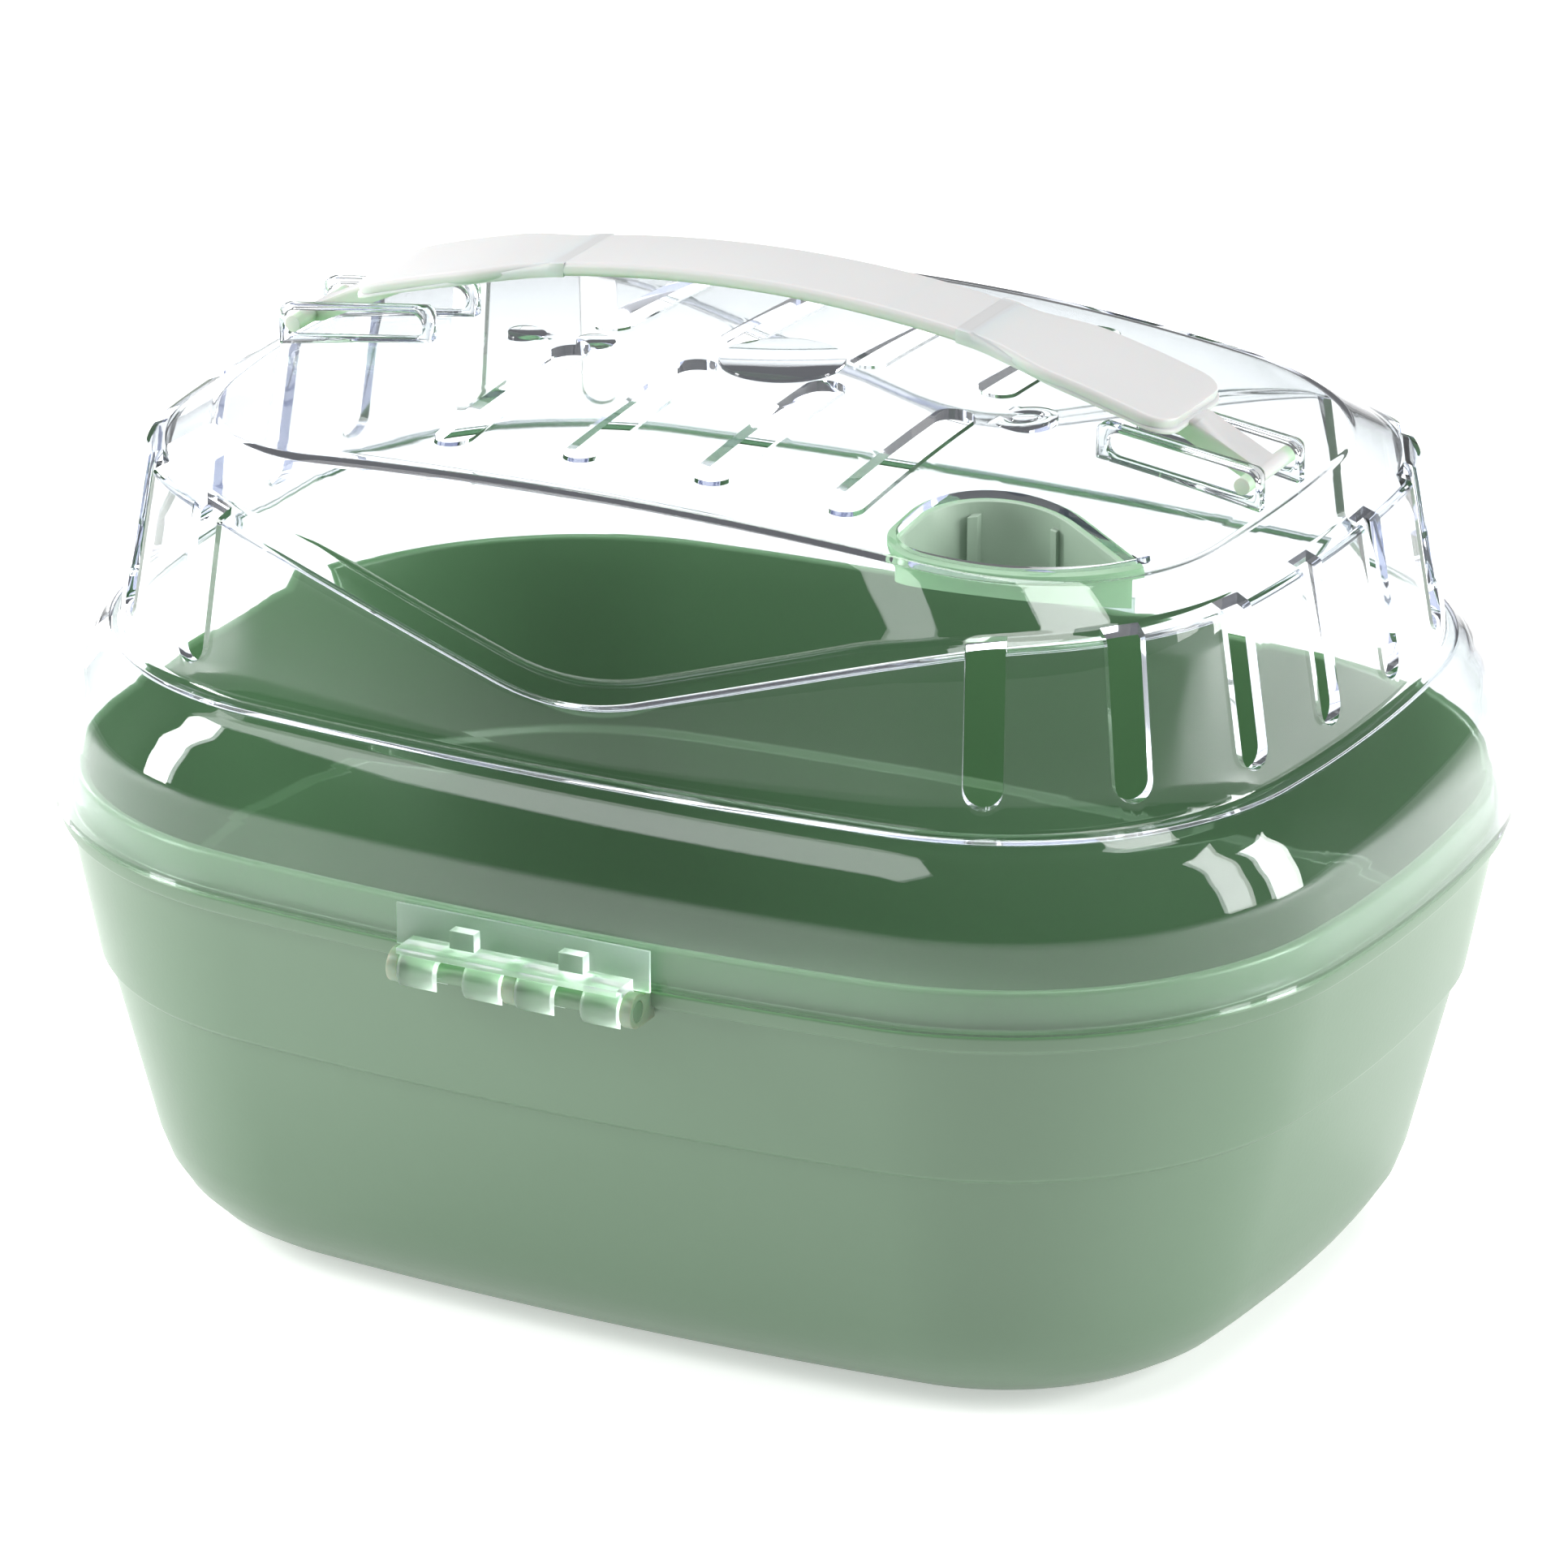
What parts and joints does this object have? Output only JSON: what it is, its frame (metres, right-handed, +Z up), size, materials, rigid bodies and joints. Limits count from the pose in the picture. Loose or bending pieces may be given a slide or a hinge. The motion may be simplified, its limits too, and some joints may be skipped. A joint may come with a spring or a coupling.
{
  "type": "small pet carrier",
  "caption": "Plastic small-animal carrier: opaque stepped tub, hinged clear vented lid with a feeding port and cup, and a flexible strap handle that slides in clear rails.",
  "frame": {"origin": "centre of the underside of the tub, on the surface it stands on", "axes": "+X along the length to the end nearest the feeding port, -Y to the front (the side in the picture), +Z up"},
  "size_m": [0.2982, 0.2432, 0.2112],
  "materials": {
    "tub_green": "satin",
    "cup_green": "satin",
    "bracket_green": "satin",
    "lid_clear": "gloss",
    "handle_white": "satin"
  },
  "bodies": {
    "tub": {"tub": "tub_green", "front_hinge_bracket": "bracket_green", "front_hinge_rod": "bracket_green", "rear_hinge_bracket": "bracket_green", "rear_hinge_rod": "bracket_green"},
    "lid": {"lid": "lid_clear", "feeder_cup": "cup_green", "front_clip_plate": "lid_clear", "rear_clip_plate": "lid_clear", "front_left_rail": "lid_clear", "front_right_rail": "lid_clear", "rear_left_rail": "lid_clear", "rear_right_rail": "lid_clear"},
    "grip": {"handle_grip": "handle_white"},
    "arm_left": {"handle_arm_left": "handle_white"},
    "arm_right": {"handle_arm_right": "handle_white"}
  },
  "joints": [
    {"name": "lid_hinge", "type": "hinge", "parent": "tub", "child": "lid", "pos_m": [0, 0.1173, 0.093], "axis": [-1, 0, 0], "range_deg": [0, 105]},
    {"name": "handle_lift", "type": "slide", "parent": "lid", "child": "grip", "axis": [0, 0, 1], "range_m": [0, 0.018]},
    {"name": "arm_left_bend", "type": "hinge", "parent": "grip", "child": "arm_left", "pos_m": [-0.045, 0, 0.2063], "axis": [0, -1, 0], "range_deg": [0, 15.7]},
    {"name": "arm_right_bend", "type": "hinge", "parent": "grip", "child": "arm_right", "pos_m": [0.045, 0, 0.2063], "axis": [0, 1, 0], "range_deg": [0, 15.7]}
  ],
  "couplings": [
    {"joint": "arm_left_bend", "follows": "handle_lift", "rad_per_m": 15.19},
    {"joint": "arm_right_bend", "follows": "handle_lift", "rad_per_m": 15.19}
  ]
}
